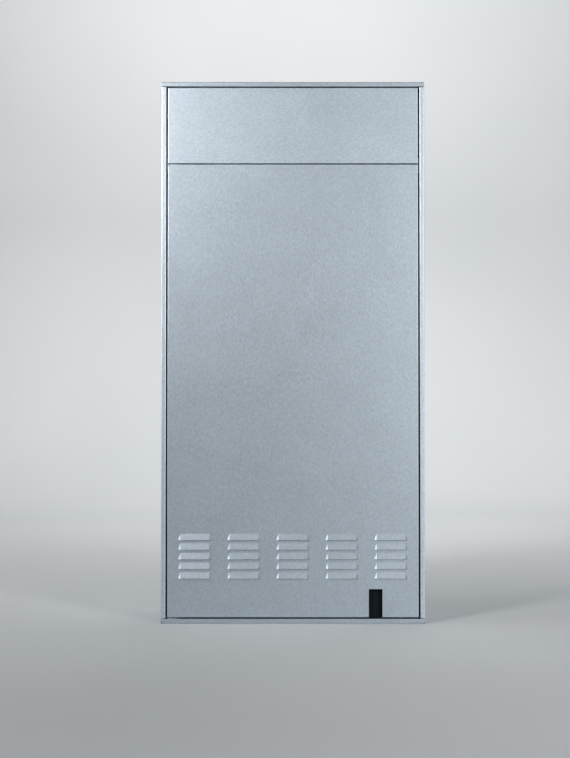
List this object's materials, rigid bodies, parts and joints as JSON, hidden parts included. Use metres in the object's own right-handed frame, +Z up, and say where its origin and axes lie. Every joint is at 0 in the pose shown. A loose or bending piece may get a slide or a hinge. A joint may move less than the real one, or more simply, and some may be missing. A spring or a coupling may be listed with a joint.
{
  "type": "condensing gas boiler",
  "caption": "Recessed in-wall boiler cabinet in bare zinc sheet: louvred hinged door, pull-off top panel, and the boiler's working parts behind them.",
  "frame": {"origin": "middle of the cabinet's underside, halfway between its front face and its back sheet", "axes": "+Z up, -Y out of the door, +X to the right of someone facing the door"},
  "size_m": [0.6, 0.245, 1.235],
  "materials": {
    "zinc_sheet": "satin",
    "zinc_small_parts": "satin",
    "stainless_steel": "satin",
    "cast_aluminium": "matte",
    "copper": "satin",
    "brass": "satin",
    "vessel_paint": "satin",
    "pump_paint": "satin",
    "black_plastic": "matte",
    "grey_plastic": "matte",
    "white_plastic": "matte",
    "lever_plastic": "satin",
    "red_plastic": "satin",
    "foam": "matte",
    "board": "satin",
    "clear_window": "polished"
  },
  "bodies": {
    "cabinet": {"cabinet_back": "zinc_sheet", "cabinet_left_side": "zinc_sheet", "cabinet_right_side": "zinc_sheet", "cabinet_top": "zinc_sheet", "cabinet_bottom": "zinc_sheet", "cross_rail": "zinc_sheet", "frame_seals": "foam", "hinge_brackets": "zinc_small_parts", "frame_catches": "black_plastic", "mounting_bracket": "zinc_sheet", "chassis_plate": "zinc_sheet", "fixing_nuts": "zinc_small_parts", "exchanger_shell": "stainless_steel", "burner_door": "cast_aluminium", "burner": "stainless_steel", "ignition_unit": "white_plastic", "flue_adapter": "white_plastic", "fan_housing": "cast_aluminium", "fan_motor": "black_plastic", "venturi": "cast_aluminium", "gas_valve": "cast_aluminium", "air_ducts": "grey_plastic", "intake_silencer": "grey_plastic", "expansion_vessel": "vessel_paint", "vessel_straps": "zinc_small_parts", "small_pipes": "copper", "water_blocks": "black_plastic", "pump_volute": "pump_paint", "pump_motor": "grey_plastic", "plate_exchanger": "stainless_steel", "brass_fittings": "brass", "diverter_motor": "black_plastic", "copper_pipes": "copper", "service_valves": "brass", "condensate_trap": "grey_plastic", "control_box": "grey_plastic", "control_board": "board", "fascia": "grey_plastic", "clear_windows": "clear_window", "gauge_case": "black_plastic"},
    "door": {"door_panel": "zinc_sheet", "door_hardware": "zinc_sheet", "grip_cup": "black_plastic"},
    "front_top_panel": {"top_panel": "zinc_sheet", "panel_blades": "zinc_small_parts"},
    "impeller": {"fan_impeller": "black_plastic"},
    "rotor": {"pump_rotor": "black_plastic"},
    "lever_flow": {"flow_lever": "lever_plastic"},
    "lever_gas": {"gas_lever": "lever_plastic"},
    "lever_cold": {"cold_lever": "lever_plastic"},
    "lever_return": {"return_lever": "lever_plastic"},
    "knob_filling": {"filling_knob": "lever_plastic"},
    "knob_safety": {"safety_knob": "red_plastic"},
    "stem": {"diverter_stem": "stainless_steel"},
    "push_1": {"button_1": "white_plastic"},
    "push_2": {"button_2": "white_plastic"},
    "push_3": {"button_3": "white_plastic"},
    "push_4": {"button_4": "white_plastic"},
    "selector": {"dial": "white_plastic"},
    "pointer": {"gauge_needle": "red_plastic"}
  },
  "joints": [
    {"name": "door_hinge", "type": "hinge", "parent": "cabinet", "child": "door", "pos_m": [-0.2735, -0.112, 0.53], "axis": [0, 0, -1], "range_deg": [0, 100]},
    {"name": "top_panel_pull", "type": "slide", "parent": "cabinet", "child": "front_top_panel", "axis": [0, -1, 0], "range_m": [0, 0.06]},
    {"name": "fan_spin", "type": "hinge", "parent": "cabinet", "child": "impeller", "pos_m": [0.056, -0.06, 0.595], "axis": [0, 1, 0], "continuous": true},
    {"name": "pump_spin", "type": "hinge", "parent": "cabinet", "child": "rotor", "pos_m": [0.11, 0.08, 0.262], "axis": [0, 1, 0], "continuous": true},
    {"name": "flow_lever_turn", "type": "hinge", "parent": "cabinet", "child": "lever_flow", "pos_m": [-0.11, 0.062, 0.1516], "axis": [0, 1, 0], "range_deg": [0, 90]},
    {"name": "gas_lever_turn", "type": "hinge", "parent": "cabinet", "child": "lever_gas", "pos_m": [0, 0.062, 0.1516], "axis": [0, 1, 0], "range_deg": [0, 90]},
    {"name": "cold_lever_turn", "type": "hinge", "parent": "cabinet", "child": "lever_cold", "pos_m": [0.055, 0.062, 0.1516], "axis": [0, 1, 0], "range_deg": [0, 90]},
    {"name": "return_lever_turn", "type": "hinge", "parent": "cabinet", "child": "lever_return", "pos_m": [0.11, 0.062, 0.1516], "axis": [0, 1, 0], "range_deg": [0, 90]},
    {"name": "filling_knob_turn", "type": "hinge", "parent": "cabinet", "child": "knob_filling", "pos_m": [0.0825, 0.048, 0.204], "axis": [0, -1, 0], "range_deg": [0, 270]},
    {"name": "safety_knob_turn", "type": "hinge", "parent": "cabinet", "child": "knob_safety", "pos_m": [0.168, 0.058, 0.262], "axis": [0, -1, 0], "range_deg": [0, 90]},
    {"name": "diverter_stroke", "type": "slide", "parent": "cabinet", "child": "stem", "axis": [0, -1, 0], "range_m": [0, 0.005]},
    {"name": "button_1_press", "type": "slide", "parent": "cabinet", "child": "push_1", "axis": [0, 1, 0], "range_m": [0, 0.0015], "stiffness_N_per_m": 400, "springref_m": -0.001},
    {"name": "button_2_press", "type": "slide", "parent": "cabinet", "child": "push_2", "axis": [0, 1, 0], "range_m": [0, 0.0015], "stiffness_N_per_m": 400, "springref_m": -0.001},
    {"name": "button_3_press", "type": "slide", "parent": "cabinet", "child": "push_3", "axis": [0, 1, 0], "range_m": [0, 0.0015], "stiffness_N_per_m": 400, "springref_m": -0.001},
    {"name": "button_4_press", "type": "slide", "parent": "cabinet", "child": "push_4", "axis": [0, 1, 0], "range_m": [0, 0.0015], "stiffness_N_per_m": 400, "springref_m": -0.001},
    {"name": "dial_turn", "type": "hinge", "parent": "cabinet", "child": "selector", "pos_m": [0.095, -0.08, 0.295], "axis": [0, -1, 0], "range_deg": [0, 270]},
    {"name": "needle_turn", "type": "hinge", "parent": "cabinet", "child": "pointer", "pos_m": [0.155, -0.08, 0.295], "axis": [0, 1, 0], "range_deg": [0, 240]}
  ]
}
